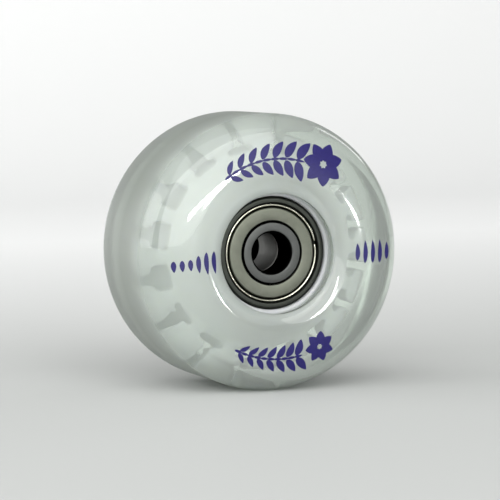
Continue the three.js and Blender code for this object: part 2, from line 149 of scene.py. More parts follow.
def rounded(corners, steps=4):
    """A closed outline from (a, b, fillet radius) corners, with an arc at each corner that has a fillet."""
    points = []
    count = len(corners)
    for index, (a, b, fillet) in enumerate(corners):
        here = Vector((a, b))
        if fillet <= 0:
            points.append((a, b))
            continue
        before = Vector(corners[index - 1][:2]) - here
        after = Vector(corners[(index + 1) % count][:2]) - here
        angle = before.angle(after)
        reach = min(fillet / math.tan(angle / 2), 0.49 * before.length, 0.49 * after.length)
        radius = reach * math.tan(angle / 2)
        start = here + before.normalized() * reach
        end = here + after.normalized() * reach
        middle = (before.normalized() + after.normalized()).normalized()
        centre = here + middle * (radius / math.sin(angle / 2))
        first, last = start - centre, end - centre
        sweep = first.angle_signed(last)
        for step in range(steps + 1):
            turn = -sweep * step / steps
            x = first.x * math.cos(turn) - first.y * math.sin(turn)
            y = first.x * math.sin(turn) + first.y * math.cos(turn)
            points.append((centre.x + x, centre.y + y))
    return points


def mirrored(corners):
    """Corners of the rear half of a section, mirrored to the front half and run the other way."""
    return [(corner[0], -corner[1], *corner[2:]) for corner in reversed(corners)]


def cone_y(radius):
    """How far the side face stands from the wheel's middle, before the shoulder rounds it off."""
    along = radius - CONE_START
    if along < -CONE_BLEND:
        return HALF_WIDTH
    if along > CONE_BLEND:
        return HALF_WIDTH - CONE_SLOPE * along
    return HALF_WIDTH - CONE_SLOPE * (along + CONE_BLEND) ** 2 / (4 * CONE_BLEND)


def face_y(radius):
    """How far the tyre's side face stands from the wheel's middle, from its recess to its tread."""
    if radius < CREST_RADIUS:
        part = min(1.0, (CREST_RADIUS - radius) / (CREST_RADIUS - RECESS_RADIUS))
        return HALF_WIDTH - LIP_DEPTH * (1 - math.sqrt(1 - part ** 2))
    part = max(0.0, (radius - SHOULDER_RADIUS) / (WHEEL_RADIUS - SHOULDER_RADIUS))
    return TREAD_HALF_WIDTH + (cone_y(radius) - TREAD_HALF_WIDTH) * math.sqrt(max(0.0, 1 - part ** 2))


def tyre_half_section(shoulder_steps=24, face_steps=30, lip_steps=14):
    """The rear half of the tyre's section, from the edge of the tread to the recess."""
    radii = []
    for step in range(shoulder_steps):
        turn = math.pi / 2 * step / shoulder_steps
        radii.append(SHOULDER_RADIUS + (WHEEL_RADIUS - SHOULDER_RADIUS) * math.cos(turn))
    for step in range(face_steps):
        radii.append(SHOULDER_RADIUS + (CREST_RADIUS - SHOULDER_RADIUS) * step / face_steps)
    for step in range(lip_steps + 1):
        turn = math.pi / 2 * step / lip_steps
        radii.append(CREST_RADIUS - (CREST_RADIUS - RECESS_RADIUS) * math.sin(turn))
    return [(radius, face_y(radius)) for radius in radii]


# ------------------------------------------------------------------ mesh helpers


def new_object(name, vertices, faces, smooth_angle=40):
    """A mesh object from vertices in millimetres, shaded smooth but for its sharp edges."""
    mesh = bpy.data.meshes.new(name)
    mesh.from_pydata([tuple(value * MM for value in vertex) for vertex in vertices], [], faces)
    return mesh_object(name, mesh, smooth_angle)


def mesh_object(name, mesh, smooth_angle=40):
    shape = bmesh.new()
    shape.from_mesh(mesh)
    bmesh.ops.remove_doubles(shape, verts=shape.verts, dist=1e-7)
    bmesh.ops.recalc_face_normals(shape, faces=shape.faces)
    shape.to_mesh(mesh)
    shape.free()
    mesh.shade_smooth()
    mesh.set_sharp_from_angle(angle=math.radians(smooth_angle))
    piece = bpy.data.objects.new(name, mesh)
    bpy.context.scene.collection.objects.link(piece)
    return piece


def settle(piece, body, slot, material, *nodes):
    """Gives a piece its material, the body it rides on and the CAD nodes it stands for; its slot argument is
    not used.
    """
    piece.data.materials.clear()
    piece.data.materials.append(material)
    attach(piece, body)
    if nodes:
        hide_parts(*nodes)
    return piece


def turned(name, section, steps=160, centre_y=0.0, smooth_angle=40):
    """Turns a closed section of (radius, y) points about the Y axis."""
    vertices = []
    for step in range(steps):
        angle = 2 * math.pi * step / steps
        for radius, y in section:
            vertices.append((radius * math.cos(angle), y + centre_y, radius * math.sin(angle)))
    faces = []
    count = len(section)
    for step in range(steps):
        here, there = step * count, (step + 1) % steps * count
        for index in range(count):
            after = (index + 1) % count
            faces.append((here + index, here + after, there + after, there + index))
    return new_object(name, vertices, faces, smooth_angle)


def tube(name, path, radii, sides=14):
    """A round tube along a path, with a radius at each point and capped ends."""
    points = [Vector(point) for point in path]
    vertices = []
    side = None
    for index, point in enumerate(points):
        before = points[max(index - 1, 0)]
        after = points[min(index + 1, len(points) - 1)]
        forward = (after - before).normalized()
        if side is None:
            side = forward.orthogonal().normalized()
        side = (side - forward * side.dot(forward)).normalized()
        other = forward.cross(side)
        for step in range(sides):
            turn = 2 * math.pi * step / sides
            vertices.append(point + (side * math.cos(turn) + other * math.sin(turn)) * radii[index])
    faces = []
    for index in range(len(points) - 1):
        for step in range(sides):
            after = (step + 1) % sides
            here = index * sides
            faces.append((here + step, here + after, here + sides + after, here + sides + step))
    faces.append(tuple(range(sides)))
    faces.append(tuple((len(points) - 1) * sides + step for step in range(sides)))
    return new_object(name, vertices, faces)


def prism(name, outline, from_y, to_y):
    """A closed prism along Y on an outline of (x, z) points."""
    count = len(outline)
    vertices = [(x, from_y, z) for x, z in outline] + [(x, to_y, z) for x, z in outline]
    faces = [tuple(range(count)), tuple(range(2 * count - 1, count - 1, -1))]
    for index in range(count):
        after = (index + 1) % count
        faces.append((index, after, count + after, count + index))
    return new_object(name, vertices, faces)


def apply_modifiers(piece):
    """Puts what a piece's modifiers make into its own mesh."""
    graph = bpy.context.evaluated_depsgraph_get()
    made = bpy.data.meshes.new_from_object(piece.evaluated_get(graph), depsgraph=graph)
    piece.modifiers.clear()
    piece.data = made
    return piece


def intersect(piece, other):
    """Keeps what a piece shares with another, which is removed."""
    cut = piece.modifiers.new("cut", "BOOLEAN")
    cut.operation = "INTERSECT"
    cut.solver = "EXACT"
    cut.object = other
    apply_modifiers(piece)
    bpy.data.objects.remove(other)
    return piece


# ------------------------------------------------------------------ material helpers


class Finish:
    """A node material with its Principled shader, and short calls for the nodes that drive it."""

    def __init__(self, name, **values):
        self.material = bpy.data.materials.new(name)
        self.material.use_nodes = True
        self.tree = self.material.node_tree
        self.shader = self.tree.nodes["Principled BSDF"]
        self.output = self.tree.nodes["Material Output"]
        for label, value in values.items():
            self.shader.inputs[label.replace("_", " ")].default_value = value
        self.place = self.tree.nodes.new("ShaderNodeTexCoord").outputs["Object"]

    def node(self, kind, **inputs):
        made = self.tree.nodes.new(kind)
        for label, value in inputs.items():
            socket = made.inputs[label.replace("_", " ")]
            if isinstance(value, bpy.types.NodeSocket):
                self.tree.links.new(value, socket)
            else:
                socket.default_value = value
        return made

    def link(self, source, label):
        self.tree.links.new(source, self.shader.inputs[label])

    def noise(self, scale, detail=4.0, place=None):
        """Cloudy noise from 0 to 1, with a scale in cells per metre."""
        made = self.node("ShaderNodeTexNoise", Vector=place or self.place, Scale=scale, Detail=detail)
        return made.outputs["Fac"]

    def ramp(self, source, low_value, high_value, low_at=0.3, high_at=0.7):
        """Spreads a 0 to 1 value between two values or two colours."""
        made = self.tree.nodes.new("ShaderNodeValToRGB")
        self.tree.links.new(source, made.inputs["Fac"])
        ends = made.color_ramp.elements
        ends[0].position, ends[1].position = low_at, high_at
        for end, value in zip(ends, (low_value, high_value)):
            colour = value if isinstance(value, tuple) else (value,) * 3
            end.color = (*colour, 1)
        return made.outputs["Color"]

    def math(self, operation, first, second=0.0):
        made = self.tree.nodes.new("ShaderNodeMath")
        made.operation = operation
        for socket, value in zip(made.inputs, (first, second)):
            if isinstance(value, bpy.types.NodeSocket):
                self.tree.links.new(value, socket)
            else:
                socket.default_value = value
        return made.outputs[0]

    def scaled(self, colour, factor):
        """A colour made darker by a factor."""
        made = self.tree.nodes.new("ShaderNodeVectorMath")
        made.operation = "SCALE"
        self.tree.links.new(colour, made.inputs["Vector"])
        self.tree.links.new(factor, made.inputs["Scale"])
        return made.outputs["Vector"]

    def turned_place(self):
        """Coordinates that change with radius and Y only, for the fine rings a lathe leaves."""
        parts = self.node("ShaderNodeSeparateXYZ", Vector=self.place)
        x2 = self.math("MULTIPLY", parts.outputs["X"], parts.outputs["X"])
        z2 = self.math("MULTIPLY", parts.outputs["Z"], parts.outputs["Z"])
        radius = self.math("SQRT", self.math("ADD", x2, z2))
        return self.node("ShaderNodeCombineXYZ", X=radius, Y=parts.outputs["Y"]).outputs[0]

    def bump(self, height, strength, distance):
        """Relief from a 0 to 1 height, up to a distance in metres."""
        made = self.node("ShaderNodeBump", Height=height, Strength=strength, Distance=distance)
        self.link(made.outputs["Normal"], "Normal")


NO_LIMIT = 99.0


def turned_metal(
    name, colour, roughness, ring_strength, worn=0.12, unshaded_radii=(0.0, NO_LIMIT), shade=0.12, edge=1.0
):
    """Metal with the fine rings of turning or grinding, and faint smudges. Its colour is full between the
    two given radii, in millimetres, and scaled by shade elsewhere: painted shade for the grooves and bores
    that get little light. The glancing reflection is scaled by edge."""
    finish = Finish(name, Metallic=1.0, Specular_Tint=(edge, edge, edge, 1))
    place = finish.turned_place()
    rings = finish.noise(9000.0, 3.0, place)
    smudge = finish.noise(420.0, 5.0)
    dark = tuple(value * (1 - worn) for value in colour)
    light = tuple(min(1.0, value * (1 + worn)) for value in colour)
    # Painted shade: outside the two radii the colour is scaled down by shade, standing for the little light
    # that reaches grooves and bores.
    radius = finish.node("ShaderNodeSeparateXYZ", Vector=place).outputs["X"]
    outside = finish.math("GREATER_THAN", radius, unshaded_radii[0] * MM)
    inside = finish.math("LESS_THAN", radius, unshaded_radii[1] * MM)
    lit = finish.math("MULTIPLY", outside, inside)
    tone = finish.math("ADD", finish.math("MULTIPLY", lit, 1 - shade), shade)
    finish.link(finish.scaled(finish.ramp(smudge, dark, light), tone), "Base Color")
    spread = finish.math("MULTIPLY", finish.math("ADD", rings, smudge), 0.5)
    finish.link(finish.ramp(spread, roughness * 0.75, roughness * 1.3), "Roughness")
    finish.bump(rings, ring_strength, 0.00002)
    return finish.material


def moulded_plastic(name, colour, roughness, grain=0.15):
    """Plastic with a fine moulded grain and a slight unevenness of tone."""
    finish = Finish(name)
    cloud = finish.noise(300.0, 4.0)
    fine = finish.noise(6000.0, 2.0)
    dark = tuple(value * 0.93 for value in colour)
    finish.link(finish.ramp(cloud, dark, colour), "Base Color")
    finish.link(finish.ramp(cloud, roughness * 0.85, roughness * 1.15), "Roughness")
    finish.bump(fine, grain, 0.00003)
    return finish.material


# ------------------------------------------------------------------ materials


def clear_urethane():
    """Cast urethane: slightly cloudy under a glossy skin on the side faces, and a grey haze on the tread."""
    finish = Finish("clear_urethane", IOR=1.49, Coat_Roughness=0.03)
    parts = finish.node("ShaderNodeSeparateXYZ", Vector=finish.place)
    waver = finish.math("MULTIPLY", finish.noise(60.0, 2.0), 0.8 * MM)
    across = finish.math("ADD", finish.math("ABSOLUTE", parts.outputs["Y"]), waver)
    haze_edge = TREAD_HALF_WIDTH * MM
    haze_fade = 4.5 * MM
    tint_fade = 15.5 * MM
    spread = finish.math("DIVIDE", finish.math("SUBTRACT", across, haze_edge), haze_fade)
    shoulder = finish.math("MINIMUM", finish.math("MAXIMUM", spread, 0.0), 1.0)
    finish.link(finish.ramp(shoulder, 0.36, 0.09, 0.0, 1.0), "Roughness")
    finish.link(finish.ramp(shoulder, 0.0, 0.6, 0.0, 1.0), "Coat Weight")
    finish.link(finish.ramp(shoulder, 0.72, 0.78, 0.0, 1.0), "Transmission Weight")
    blend = finish.math("DIVIDE", across, tint_fade)
    finish.link(finish.ramp(blend, (0.42, 0.45, 0.41), (0.77, 0.82, 0.78), 0.0, 1.0), "Base Color")
    finish.bump(finish.noise(70.0, 2.0), 0.12, 0.0004)
    depth = finish.node("ShaderNodeVolumeAbsorption", Color=(0.60, 0.68, 0.60, 1), Density=30.0)
    finish.tree.links.new(depth.outputs["Volume"], finish.output.inputs["Volume"])
    return finish.material


def milky_core():
    """Milky nylon: white, softly lit from inside, with faint flow clouds, and painted shade darkening it
    towards the bearing seat.
    """
    finish = Finish("milky_core", Roughness=0.45, Subsurface_Weight=0.85, Subsurface_Scale=0.004)
    cloud = finish.noise(140.0, 4.0)
    radius = finish.node("ShaderNodeSeparateXYZ", Vector=finish.turned_place()).outputs["X"]
    seat_shade_reach = 2.2 * MM
    # Painted shade: the colour drops to about half at the bearing's radius and rises to full a little over 2
    # mm further out, where the recess round the bearing lies in shade.
    outward = finish.math("DIVIDE", finish.math("SUBTRACT", radius, BEARING_RADIUS * MM), seat_shade_reach)
    seat = finish.ramp(outward, 0.48, 1.0, 0.0, 1.0)
    white = finish.ramp(cloud, (0.89, 0.92, 0.925), (0.94, 0.96, 0.965))
    finish.link(finish.scaled(white, seat), "Base Color")
    finish.shader.inputs["Subsurface Radius"].default_value = (1.0, 1.0, 0.9)
    finish.bump(finish.noise(900.0, 3.0), 0.1, 0.00005)
    return finish.material


def print_ink():
    """Pad-printed ink, slightly uneven where the pad lifted."""
    finish = Finish("print_ink", Roughness=0.4, Specular_IOR_Level=0.35)
    speckle = finish.noise(2600.0, 4.0)
    finish.link(finish.ramp(speckle, (0.009, 0.006, 0.085), (0.013, 0.009, 0.11), 0.35, 0.6), "Base Color")
    finish.bump(speckle, 0.2, 0.00001)
    return finish.material


def lamp_lens():
    finish = Finish("lamp_lens", Roughness=0.2, Coat_Weight=0.6, Coat_Roughness=0.08)
    cloud = finish.noise(900.0, 3.0)
    finish.link(finish.ramp(cloud, (0.82, 0.80, 0.70), (0.90, 0.89, 0.82)), "Base Color")
    return finish.material


def copper_wire():
    """Enamelled copper wire, with a varnish coat over fine turns."""
    finish = Finish("copper_wire", Metallic=1.0, Roughness=0.28, Coat_Weight=0.7, Coat_Roughness=0.1)
    tone = finish.noise(700.0, 4.0)
    finish.link(finish.ramp(tone, (0.50, 0.20, 0.07), (0.72, 0.33, 0.14)), "Base Color")
    return finish.material


def board_green():
    """Solder mask over faint tracks."""
    finish = Finish("board_green", Roughness=0.32, Coat_Weight=0.3)
    tracks = finish.node("ShaderNodeTexVoronoi", Vector=finish.place, Scale=900.0)
    tracks.feature = "DISTANCE_TO_EDGE"
    shade = finish.ramp(tracks.outputs["Distance"], (0.045, 0.16, 0.06), (0.02, 0.085, 0.035), 0.03, 0.09)
    finish.link(shade, "Base Color")
    return finish.material


def floor_paint():
    """Plain paper: pale grey under the wheel, nearly white behind it, and greyer high up the wall."""
    finish = Finish("floor_paint", Roughness=0.6)
    parts = finish.node("ShaderNodeSeparateXYZ", Vector=finish.place)
    white_from, white_over = 0.04, 0.34
    grey_from, grey_over = 0.1, 0.15
    rise = finish.math("DIVIDE", finish.math("SUBTRACT", parts.outputs["Y"], white_from), white_over)
    fall = finish.math("DIVIDE", finish.math("SUBTRACT", parts.outputs["Z"], grey_from), grey_over)
    paper = finish.ramp(rise, (0.53, 0.54, 0.53), (0.98, 0.98, 0.98), 0.0, 1.0)
    finish.link(finish.scaled(paper, finish.ramp(fall, 1.0, 0.3, 0.0, 1.0)), "Base Color")
    return finish.material


URETHANE = clear_urethane()
CORE = milky_core()
INK = print_ink()
# Painted shade: inside 9.88 mm, on the groove wall, shield seat and race, the ring's colour is scaled down.
RING_STEEL = turned_metal("bearing_steel", (0.036, 0.039, 0.034), 0.34, 0.35, unshaded_radii=(9.88, NO_LIMIT))
# Painted shade: outside the visible face, on the bore and on the land and race, the colour is nearly black,
# and the glancing reflection is cut to a tenth to keep the bore dark.
RACE_STEEL = turned_metal(
    "inner_ring_steel", (0.07, 0.073, 0.07), 0.36, 0.3, unshaded_radii=(4.25, 5.82), shade=0.02, edge=0.1
)
# Painted shade: the shield's turned-in bore edge and its step down to the rim are darkened.
SHIELD_STEEL = turned_metal("shield_steel", (0.115, 0.121, 0.098), 0.36, 0.45, 0.1, unshaded_radii=(6.38, 8.8))
WIRE_STEEL = turned_metal("wire_steel", (0.45, 0.445, 0.37), 0.2, 0.1)
BALL_STEEL = turned_metal("ball_steel", (0.72, 0.73, 0.74), 0.08, 0.02, 0.04)
CAGE_STEEL = turned_metal("cage_steel", (0.50, 0.50, 0.50), 0.35, 0.2)
# Painted shade: the bore is kept at half tone, darker than the chamfer at the ends.
SPACER_METAL = turned_metal("spacer_metal", (0.42, 0.42, 0.4), 0.5, 0.3, unshaded_radii=(4.12, NO_LIMIT), shade=0.5)
POLE_STEEL = turned_metal("pole_steel", (0.46, 0.47, 0.48), 0.4, 0.3)
MAGNET = moulded_plastic("magnet_black", (0.05, 0.05, 0.055), 0.55, 0.4)
BOBBIN = moulded_plastic("bobbin_plastic", (0.74, 0.70, 0.60), 0.5)
LENS = lamp_lens()
COPPER = copper_wire()
BOARD = board_green()

# ------------------------------------------------------------------ tyre and core


def tyre():
    """The tyre's inner wall runs inside the core's wall, so that no air lies between the two."""
    half = tyre_half_section()
    tread = [(WHEEL_RADIUS, y) for y in (-TREAD_HALF_WIDTH / 3, TREAD_HALF_WIDTH / 3)]
    piece = turned("fine_tyre", mirrored(half) + tread + half, steps=192, smooth_angle=60)
    return settle(piece, "wheel", "clear_urethane", URETHANE, "urethane_tyre")


def tooth_outline():
    """The core's teeth as a closed outline of (x, z) points, with rounded corners."""
    mouth_radius = math.sqrt(TOOTH_TIP_RADIUS ** 2 - SLOT_MOUTH_HALF ** 2)
    mouth_angle = math.asin(SLOT_MOUTH_HALF / TOOTH_TIP_RADIUS)
    head_steps = 6
    pitch = 2 * math.pi / TOOTH_COUNT
    side = [
        (mouth_radius, SLOT_MOUTH_HALF, 0.7),
        (SLOT_NECK_RADIUS, SLOT_NECK_HALF, 0.5),
        (SLOT_FLARE_RADIUS, SLOT_FLARE_HALF, 0.5),
        (SLOT_ROOT_OUTER, SLOT_ROOT_HALF, 0.4),
        (SLOT_ROOT_INNER, SLOT_ROOT_HALF, 0.35),
    ]
    slot = [(outward, -sideways, fillet) for outward, sideways, fillet in side] + side[::-1]
    corners = []
    for tooth in range(TOOTH_COUNT):
        angle = FIRST_SLOT + tooth * pitch
        cos, sin = math.cos(angle), math.sin(angle)
        for outward, sideways, fillet in slot:
            corners.append((outward * cos - sideways * sin, outward * sin + sideways * cos, fillet))
        for step in range(1, head_steps):
            head = angle + mouth_angle + (pitch - 2 * mouth_angle) * step / head_steps
            corners.append((TOOTH_TIP_RADIUS * math.cos(head), TOOTH_TIP_RADIUS * math.sin(head), 0))
    return rounded(corners, 3)


def core():
    """The teeth cut by the core's turned envelope, then remeshed fine and eased, as a moulding is."""
    seat = BEARING_RADIUS + SEAT_GAP
    stop_front = -BEARING_FACE + BEARING_WIDTH
    stop_back = stop_front + STOP_THICKNESS
    envelope = rounded([
        (seat, -CORE_HALF_WIDTH, 0),
        (HUB_RADIUS, -CORE_HALF_WIDTH, 2.0),
        (FLANGE_RADIUS, -FLANGE_HALF_WIDTH, 4.0),
        (TOOTH_TIP_RADIUS, -FLANGE_HALF_WIDTH, 1.0),
        (TOOTH_TIP_RADIUS, FLANGE_HALF_WIDTH, 1.0),
        (FLANGE_RADIUS, FLANGE_HALF_WIDTH, 4.0),
        (HUB_RADIUS, CORE_HALF_WIDTH, 2.0),
        (seat, CORE_HALF_WIDTH, 0),
        (seat, stop_back, 0),
        (STOP_RADIUS, stop_back, 0),
        (STOP_RADIUS, stop_front, 0),
        (seat, stop_front, 0),
    ])
    piece = prism("fine_core", tooth_outline(), -CORE_HALF_WIDTH - 1, CORE_HALF_WIDTH + 1)
    intersect(piece, turned("core_envelope", envelope, steps=128))
    remesh = piece.modifiers.new("remesh", "REMESH")
    remesh.mode = "VOXEL"
    remesh.voxel_size = 0.27 * MM
    ease = piece.modifiers.new("ease", "SMOOTH")
    ease.factor = 0.5
    ease.iterations = 5
    apply_modifiers(piece)
    piece.data.shade_smooth()
    return settle(piece, "wheel", "milky_core", CORE, "toothed_core")


# ------------------------------------------------------------------ bearings


def race(land, side, steps=12):
    """The groove that the balls run in, cut into a land: side is 1 for the outer ring, -1 for the inner."""
    half = math.sqrt(RACE_RADIUS ** 2 - (land - PITCH_RADIUS) ** 2)
    limit = math.asin(half / RACE_RADIUS)
    turns = [-limit + 2 * limit * step / steps for step in range(steps + 1)]
    return [
        (PITCH_RADIUS + side * RACE_RADIUS * math.cos(turn), RACE_RADIUS * math.sin(turn), 0)
        for turn in turns
    ]


def inner_ring(end, centre):
    face = BEARING_HALF
    rear = [(INNER_LAND, face, 0.15), (BORE_RADIUS + 0.35, face, 0.12), (BORE_RADIUS, face - 0.35, 0.12)]
    section = rounded(mirrored(rear) + race(INNER_LAND, -1) + rear)
    piece = turned(f"fine_{end}_inner_ring", section, centre_y=centre)
    return settle(piece, "axle_side", "bearing_steel", RACE_STEEL, f"{end}_inner_ring")


def outer_ring(end, centre):
    face = BEARING_HALF
    wire_wall = WIRE_CENTRE + WIRE_RADIUS + 0.06
    rear = [
        (BEARING_RADIUS, face - 0.4, 0.3),
        (BEARING_RADIUS - 0.4, face, 0.3),
        (wire_wall - 0.05, face, 0.1),
        (wire_wall, face - 0.3, 0.05),
        (wire_wall, SHIELD_SEAT, 0.05),
        (OUTER_LAND, SHIELD_SEAT, 0.06),
    ]
    section = rounded(rear + list(reversed(race(OUTER_LAND, 1))) + mirrored(rear))
    piece = turned(f"fine_{end}_outer_ring", section, centre_y=centre)
    return settle(piece, "wheel", "bearing_steel", RING_STEEL, f"{end}_outer_ring")


def shield(end, facing, centre, side):
    """A pressed shield: a flat web, a rolled step down to its rim, and a turned-in bore edge."""
    skin = SHIELD_THICKNESS
    bend = 0.22
    rim = WIRE_CENTRE + WIRE_RADIUS
    corners = [
        (SHIELD_BORE_RADIUS, SHIELD_WEB - 0.15, 0.08),
        (SHIELD_BORE_RADIUS + skin, SHIELD_WEB - 0.15, 0.08),
        (SHIELD_BORE_RADIUS + skin, SHIELD_WEB, 0.1),
        (SHIELD_STEP_RADIUS - skin, SHIELD_WEB, bend),
        (SHIELD_RIM_RADIUS - skin, SHIELD_SEAT + 0.01, bend),
        (rim, SHIELD_SEAT + 0.01, 0.05),
        (rim, SHIELD_SEAT + skin, 0.05),
        (SHIELD_RIM_RADIUS, SHIELD_SEAT + skin, bend),
        (SHIELD_STEP_RADIUS, SHIELD_WEB + skin, bend),
        (SHIELD_BORE_RADIUS, SHIELD_WEB + skin, 0.15),
    ]
    if side < 0:
        corners = mirrored(corners)
    piece = turned(f"fine_{end}_{facing}_shield", rounded(corners, 5), centre_y=centre)
    return settle(piece, "wheel", "shield_steel", SHIELD_STEEL, f"{end}_{facing}_shield")


def snap_ring(end, facing, centre, side):
    """A round spring wire with two cut ends, one of them sprung a little outwards."""
    steps = 150
    y = centre + side * (SHIELD_SEAT + SHIELD_THICKNESS + WIRE_RADIUS)
    path, radii = [], []
    for step in range(steps + 1):
        part = step / steps
        angle = WIRE_GAP + WIRE_GAP_HALF + part * 2 * (math.pi - WIRE_GAP_HALF)
        radius = WIRE_CENTRE + 0.05 * math.exp(-30 * part) - 0.1 * math.exp(-30 * (1 - part))
        path.append((radius * math.cos(angle), y, radius * math.sin(angle)))
        radii.append(WIRE_RADIUS)
    radii[0] = radii[-1] = WIRE_RADIUS * 0.82
    piece = tube(f"fine_{end}_{facing}_snap_ring", path, radii)
    return settle(piece, "wheel", "wire_steel", WIRE_STEEL, f"{end}_{facing}_snap_ring")


def ball_angle(index):
    """Measured from +Z towards +X, as the CAD balls are laid out."""
    return 2 * math.pi * index / BALL_COUNT


def cage_half(end, facing, centre, side):
    """Half of a pressed ribbon cage, arched over each ball and flat between balls."""
    skin, pocket, gap = 0.3, 2.1, 0.03
    reach = pocket + skin
    per_ball = 36
    inner, outer = 6.75, 8.25
    count = per_ball * BALL_COUNT
    vertices, faces = [], []
    spacing = 2 * math.pi * PITCH_RADIUS / BALL_COUNT
    for index in range(count):
        along = (index % per_ball / per_ball - 0.5) * spacing
        angle = ball_angle(index // per_ball) + along / PITCH_RADIUS
        low_y = gap + math.sqrt(max(0.0, pocket ** 2 - along ** 2))
        high_y = gap + max(skin, math.sqrt(max(0.0, reach ** 2 - along ** 2)))
        for radius, y in ((inner, low_y), (outer, low_y), (outer, high_y), (inner, high_y)):
            vertices.append((radius * math.sin(angle), centre + side * y, radius * math.cos(angle)))
    for index in range(count):
        here, there = 4 * index, 4 * ((index + 1) % count)
        for corner in range(4):
            after = (corner + 1) % 4
            faces.append((here + corner, here + after, there + after, there + corner))
    piece = new_object(f"fine_{end}_{facing}_cage_half", vertices, faces)
    edge = piece.modifiers.new("edge", "BEVEL")
    edge.width = 0.06 * MM
    edge.segments = 2
    edge.limit_method = "ANGLE"
    apply_modifiers(piece)
    return settle(piece, f"{end}_ball_set", "cage_steel", CAGE_STEEL, f"{end}_{facing}_cage_half")


def ball(end, index, centre):
    angle = ball_angle(index)
    shape = bmesh.new()
    bmesh.ops.create_icosphere(shape, subdivisions=4, radius=BALL_RADIUS * MM)
    place = Vector((PITCH_RADIUS * math.sin(angle), centre, PITCH_RADIUS * math.cos(angle))) * MM
    bmesh.ops.translate(shape, verts=shape.verts, vec=place)
    name = f"fine_{end}_ball_{index + 1}"
    mesh = bpy.data.meshes.new(name)
    shape.to_mesh(mesh)
    shape.free()
    piece = mesh_object(name, mesh)
    return settle(piece, f"{end}_ball_set", "ball_steel", BALL_STEEL, f"{end}_ball_{index + 1}")


def bearing(end, side):
    centre = side * BEARING_CENTRE
    inner_ring(end, centre)
    outer_ring(end, centre)
    for facing, way in (("outward", side), ("inward", -side)):
        shield(end, facing, centre, way)
        snap_ring(end, facing, centre, way)
        cage_half(end, facing, centre, way)
    for index in range(BALL_COUNT):
        ball(end, index, centre)


# ------------------------------------------------------------------ spacer, magnet and cartridge


def spacer():
    """A tube between the inner rings, chamfered at both ends, with a collar that the magnet stops on."""
    end = SPACER_HALF
    chamfer = SPACER_CHAMFER_RADIUS - SPACER_BORE_RADIUS
    collar = high("ring_magnet", 1) + 0.05
    section = rounded([
        (SPACER_BORE_RADIUS, -end + chamfer, 0.08),
        (SPACER_CHAMFER_RADIUS, -end, 0.08),
        (SPACER_NECK_RADIUS, -end, 0.1),
        (SPACER_NECK_RADIUS, collar, 0.1),
        (SPACER_COLLAR_RADIUS, collar, 0.1),
        (SPACER_COLLAR_RADIUS, end, 0.15),
        (SPACER_CHAMFER_RADIUS, end, 0.08),
        (SPACER_BORE_RADIUS, end - chamfer, 0.08),
    ])
    piece = turned("fine_spacer_sleeve", section)
    return settle(piece, "axle_side", "spacer_metal", SPACER_METAL, "spacer_sleeve")


def magnet():
    front, back = low("ring_magnet", 1), high("ring_magnet", 1)
    corners = [
        (MAGNET_BORE_RADIUS, front, 0.1),
        (MAGNET_RADIUS, front, 0.25),
        (MAGNET_RADIUS, back, 0.25),
        (MAGNET_BORE_RADIUS, back, 0.1),
    ]
    piece = turned("fine_ring_magnet", rounded(corners))
    return settle(piece, "axle_side", "magnet_black", MAGNET, "ring_magnet")


def winding():
    """Enamelled wire laid turn by turn, so the outside shows a ridge for each turn."""
    front, back = low("copper_winding", 1), high("copper_winding", 1)
    outer = high("copper_winding", 2)
    wire = (back - front) / WINDING_TURNS
    half = wire / 2
    section = [(WINDING_INNER_RADIUS, back), (WINDING_INNER_RADIUS, front)]
    for turn in range(WINDING_TURNS):
        middle = front + wire * (turn + 0.5)
        for step in range(5):
            angle = math.pi * step / 4
            section.append((outer - half + half * math.sin(angle), middle - half * math.cos(angle)))
    piece = turned("fine_copper_winding", section, steps=96, smooth_angle=70)
    return settle(piece, "wheel", "copper_wire", COPPER, "copper_winding")


def lead(node):
    """A straight wire from the winding's end, along Y."""
    low_corner, high_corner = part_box(node)
    middle = (low_corner + high_corner) / 2 / MM
    length = (high_corner.y - low_corner.y) / MM
    radius = (high_corner.x - low_corner.x) / 2 / MM
    steps = 8
    path = [(middle.x, low_corner.y / MM + length * step / steps, middle.z) for step in range(steps + 1)]
    piece = tube(f"fine_{node}", path, [radius] * (steps + 1), sides=12)
    return settle(piece, "wheel", "copper_wire", COPPER, node)


def keep_cad(node, material, width=SMALL_EDGE):
    """A CAD node whose shape is right keeps its mesh, with eased edges and a better material."""
    piece = NODES[node]
    for slot in piece.material_slots:
        slot.material = material
    edge = piece.modifiers.new("edge", "BEVEL")
    edge.width = width * MM
    edge.segments = 2
    edge.limit_method = "ANGLE"


def cartridge():
    """The coil with its leads, and the pieces whose CAD shape is right as it is."""
    winding()
    lead("coil_lead_a")
    lead("coil_lead_b")
    keep_cad("front_pole_plate", POLE_STEEL)
    keep_cad("rear_pole_plate", POLE_STEEL)
    keep_cad("coil_bobbin", BOBBIN)
    keep_cad("lamp_board", BOARD)
    keep_cad("cartridge_end_ring", BOBBIN)
    for index in range(LAMP_COUNT):
        keep_cad(f"lamp_{index + 1}", LENS, LAMP_EDGE)


# ------------------------------------------------------------------ print on the side face


def on_face(radius, angle):
    """A point on the printed side face at a radius and an angle from +X towards +Z."""
    return (radius * math.cos(angle), -face_y(radius) - PRINT_LIFT, radius * math.sin(angle))


